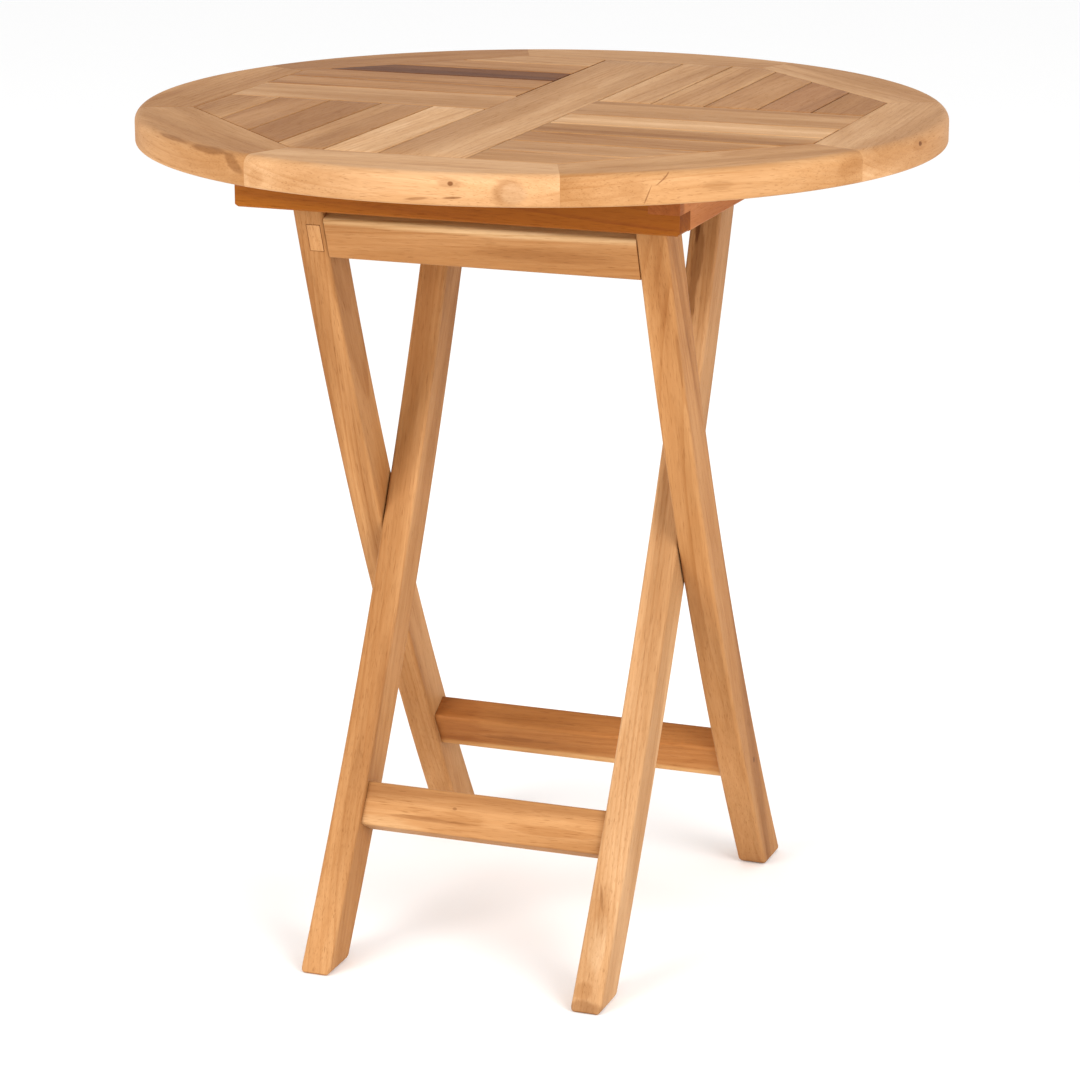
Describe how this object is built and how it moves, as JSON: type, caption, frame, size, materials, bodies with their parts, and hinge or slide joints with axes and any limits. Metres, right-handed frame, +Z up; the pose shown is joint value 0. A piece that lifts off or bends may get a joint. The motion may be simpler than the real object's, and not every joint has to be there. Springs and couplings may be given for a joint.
{
  "type": "folding garden table",
  "caption": "Round slatted wooden garden table whose top is hinged on crossing bowed legs, so that it tips up and the legs fold together.",
  "frame": {"origin": "on the floor under the middle of the round top", "axes": "+Z up, -Y towards the front where the outer legs meet the top, X along the rungs"},
  "size_m": [0.7, 0.7, 0.735],
  "materials": {
    "teak": "fine sanded bare teak",
    "steel": "brushed stainless steel",
    "brass": "plain turned brass"
  },
  "bodies": {
    "inner_frame": {"inner_leg_left": "teak", "inner_leg_right": "teak", "inner_top_rail": "teak", "inner_rung": "teak", "crossing_bushings": "brass", "crossing_washers": "brass", "hinge_bushings": "brass"},
    "outer_frame": {"outer_leg_left": "teak", "outer_leg_right": "teak", "leg_patch": "teak", "outer_top_rail": "teak", "outer_rung": "teak", "crossing_pins": "steel"},
    "table_top": {"rim_front": "teak", "rim_front_right": "teak", "rim_right": "teak", "rim_rear_right": "teak", "rim_rear": "teak", "rim_rear_left": "teak", "rim_left": "teak", "rim_front_left": "teak", "rim_splines": "teak", "centre_board": "teak", "cross_board_left": "teak", "cross_board_right": "teak", "slat_front_left_1": "teak", "slat_front_left_2": "teak", "slat_front_left_3": "teak", "slat_front_left_4": "teak", "slat_front_left_5": "teak", "slat_front_right_1": "teak", "slat_front_right_2": "teak", "slat_front_right_3": "teak", "slat_front_right_4": "teak", "slat_front_right_5": "teak", "slat_rear_right_1": "teak", "slat_rear_right_2": "teak", "slat_rear_right_3": "teak", "slat_rear_right_4": "teak", "slat_rear_right_5": "teak", "slat_rear_left_1": "teak", "slat_rear_left_2": "teak", "slat_rear_left_3": "teak", "slat_rear_left_4": "teak", "slat_rear_left_5": "teak", "front_batten": "teak", "side_batten_left": "teak", "side_batten_right": "teak", "stop_blocks": "teak", "batten_screws": "steel", "hinge_rod": "steel", "hinge_spacers": "brass", "hinge_washers": "steel", "hinge_nuts": "steel"}
  },
  "joints": [
    {"name": "top_fold", "type": "hinge", "parent": "inner_frame", "child": "table_top", "pos_m": [0, 0.11772, 0.6875], "axis": [-1, 0, 0], "range_deg": [0, 104]},
    {"name": "leg_fold", "type": "hinge", "parent": "inner_frame", "child": "outer_frame", "pos_m": [0, -0.015, 0.35967], "axis": [-1, 0, 0], "range_deg": [0, 38]}
  ],
  "couplings": [
    {"joint": "leg_fold", "follows": "top_fold", "ratio": 0.365}
  ]
}
